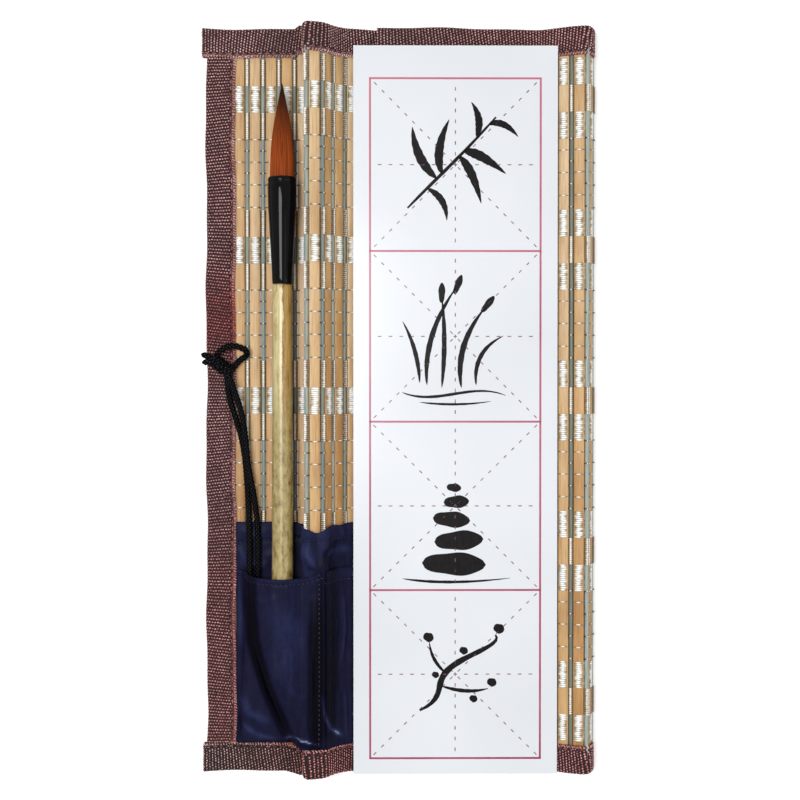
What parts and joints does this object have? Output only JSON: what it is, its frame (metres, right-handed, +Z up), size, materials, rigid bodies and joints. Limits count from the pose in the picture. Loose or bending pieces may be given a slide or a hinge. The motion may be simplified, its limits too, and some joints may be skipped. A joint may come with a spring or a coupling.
{
  "type": "bamboo brush mat",
  "caption": "Folded bamboo-slat brush mat with tape-bound edges, satin pockets, a calligraphy brush, a braided tie cord and a practice card on top.",
  "frame": {"origin": "on the table, under the middle of the folded mat", "axes": "+Y along the slats towards the brush's point, +X across them towards the folded edge, +Z up"},
  "size_m": [0.1613, 0.3046, 0.018],
  "materials": {
    "bamboo": "satin bamboo with fine grain",
    "grey_stick": "grey-green stained reed",
    "woven_tape": "plum-brown woven webbing",
    "navy_satin": "navy satin with a soft sheen",
    "black_cord": "black braided cord",
    "brush_bamboo": "polished pale bamboo with brown mottling",
    "black_lacquer": "glossy black",
    "brown_hair": "red-brown hair darkening to its tip",
    "gloss_card": "glossy white card with printed squares"
  },
  "bodies": {
    "mat_base": {"base_slats": "bamboo", "base_sticks": "grey_stick", "base_top_tape": "woven_tape", "base_bottom_tape": "woven_tape", "base_lining": "navy_satin", "base_pocket": "navy_satin"},
    "pocket_flap": {"flap_slats": "bamboo", "ridge_slats": "bamboo", "flap_sticks": "grey_stick", "ridge_sticks": "grey_stick", "flap_top_tape": "woven_tape", "flap_bottom_tape": "woven_tape", "left_end_tape": "woven_tape", "lining": "navy_satin", "side_pocket": "navy_satin", "brush_pocket": "navy_satin", "tie_cord": "black_cord", "cord_loop": "black_cord", "cord_knot": "black_cord"},
    "fold_step_1": {"fold_slats_1": "bamboo", "fold_sticks_1": "grey_stick", "fold_tapes_1": "woven_tape"},
    "fold_step_2": {"fold_slats_2": "bamboo", "fold_sticks_2": "grey_stick", "fold_tapes_2": "woven_tape"},
    "fold_slope": {"fold_slats_3": "bamboo", "fold_sticks_3": "grey_stick", "fold_tapes_3": "woven_tape"},
    "cover": {"cover_slats": "bamboo", "cover_sticks": "grey_stick", "cover_top_tape": "woven_tape", "cover_bottom_tape": "woven_tape", "cover_end_tape": "woven_tape"},
    "brush": {"brush_handle": "brush_bamboo", "brush_ferrule": "black_lacquer", "brush_tuft": "brown_hair"},
    "card": {"practice_card": "gloss_card"}
  },
  "joints": [
    {"name": "flap_fold", "type": "hinge", "parent": "mat_base", "child": "pocket_flap", "pos_m": [-0.0229, 0, 0.00501], "axis": [0, 1, 0], "range_deg": [0, 45]},
    {"name": "fold_first", "type": "hinge", "parent": "mat_base", "child": "fold_step_1", "pos_m": [0.0739, 0, 0.0018], "axis": [0, 1, 0], "range_deg": [0, 40.62]},
    {"name": "fold_second", "type": "hinge", "parent": "fold_step_1", "child": "fold_step_2", "pos_m": [0.07864, 0, 0.00622], "axis": [0, 1, 0], "range_deg": [0, 68.95]},
    {"name": "cover_fold", "type": "hinge", "parent": "fold_step_2", "child": "fold_slope", "pos_m": [0.0758, 0, 0.01204], "axis": [0, 1, 0], "range_deg": [0, 78.43]},
    {"name": "fold_last", "type": "hinge", "parent": "fold_slope", "child": "cover", "pos_m": [0.05742, 0, 0.0057], "axis": [0, 1, 0], "range_deg": [-18, 0]},
    {"name": "card_lift", "type": "slide", "parent": "cover", "child": "card", "axis": [0, 0, 1], "range_m": [0, 0.06]},
    {"name": "brush_slide", "type": "slide", "parent": "pocket_flap", "child": "brush", "axis": [0, 1, 0], "range_m": [0, 0.048]}
  ],
  "couplings": [
    {"joint": "fold_first", "follows": "cover_fold", "ratio": 0.51779},
    {"joint": "fold_second", "follows": "cover_fold", "ratio": 0.87904},
    {"joint": "fold_last", "follows": "cover_fold", "ratio": -0.22934}
  ]
}
